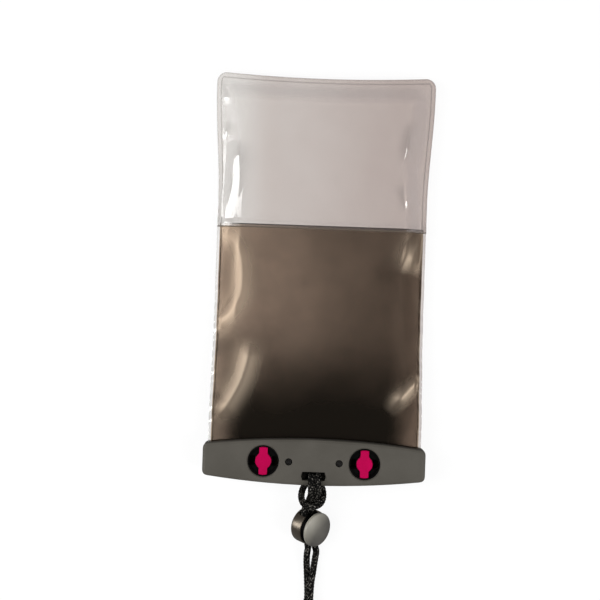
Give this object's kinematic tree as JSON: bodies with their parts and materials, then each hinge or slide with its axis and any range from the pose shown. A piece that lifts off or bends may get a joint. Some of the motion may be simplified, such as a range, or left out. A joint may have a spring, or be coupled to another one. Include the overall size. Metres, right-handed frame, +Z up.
{
  "type": "waterproof phone pouch",
  "caption": "Flat waterproof pouch of clear and smoke film with a quarter-turn sealing clip and a braided neck lanyard with a spring toggle.",
  "frame": {"origin": "on the floor under the middle of the pouch and clip, lying on its front side", "axes": "+X along the clip, +Y from the clip to the pouch's closed end, +Z up out of the back side"},
  "size_m": [0.1034, 0.2967, 0.0216],
  "materials": {
    "clear_film": "clear glossy TPU film",
    "smoke_film": "smoke-tinted glossy TPU film",
    "clip_plastic": "moulded grey plastic, fine matte",
    "black_plastic": "moulded black plastic",
    "magenta_plastic": "moulded magenta plastic",
    "toggle_metal": "glossy gunmetal coat",
    "toggle_plastic": "satin dark grey",
    "spring_steel": "drawn wire",
    "cord": "braided black polyester"
  },
  "bodies": {
    "pouch": {"front_film": "clear_film", "back_window": "clear_film", "back_panel": "smoke_film", "clip_back": "clip_plastic", "clip_front": "clip_plastic", "lock_seat_left": "black_plastic", "lock_seat_right": "black_plastic", "peg_left": "black_plastic", "peg_right": "black_plastic", "toggle_shell": "toggle_metal", "toggle_sleeve": "black_plastic", "toggle_spring": "spring_steel", "lanyard_hitch": "cord", "lanyard_strand_left": "cord", "lanyard_strand_right": "cord", "lanyard_coil": "cord"},
    "lever_left": {"lever_left": "black_plastic", "lock_tab_left": "magenta_plastic"},
    "lever_right": {"lever_right": "black_plastic", "lock_tab_right": "magenta_plastic"},
    "button": {"toggle_button": "toggle_plastic"}
  },
  "joints": [
    {"name": "lever_left_turn", "type": "hinge", "parent": "pouch", "child": "lever_left", "pos_m": [-0.0235, -0.08518, 0.008], "axis": [0, 0, 1], "range_deg": [0, 90]},
    {"name": "lever_right_turn", "type": "hinge", "parent": "pouch", "child": "lever_right", "pos_m": [0.0235, -0.08518, 0.008], "axis": [0, 0, -1], "range_deg": [0, 90]},
    {"name": "toggle_press", "type": "slide", "parent": "pouch", "child": "button", "axis": [-0.6948, 0.1862, -0.6947], "range_m": [0, 0.00115], "stiffness_N_per_m": 1500, "springref_m": -0.003, "deforming": ["toggle_spring"]}
  ]
}
